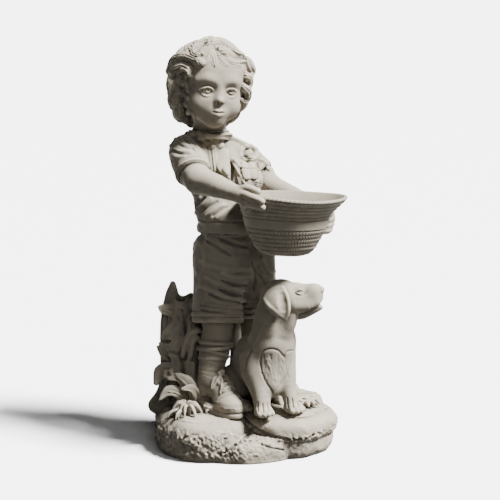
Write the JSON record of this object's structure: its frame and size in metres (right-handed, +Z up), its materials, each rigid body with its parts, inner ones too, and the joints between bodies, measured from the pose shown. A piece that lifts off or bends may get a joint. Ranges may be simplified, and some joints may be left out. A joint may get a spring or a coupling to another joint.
{
  "type": "garden statue planter",
  "caption": "Cast stone figure of a boy in overalls holding out a straw hat as an open planting bowl, a puppy sitting beside the boy, on a rock base with a stump and flowers.",
  "frame": {"origin": "on the ground under the middle of the work's bounding box", "axes": "+Z up; +X to the right of the viewer who faces the work's display side; +Y away from that viewer"},
  "size_m": [0.3681, 0.3028, 0.7602],
  "materials": {
    "cast_stone": "matt"
  },
  "bodies": {
    "root": {"boy_with_hat_and_puppy": "cast_stone"}
  },
  "joints": []
}
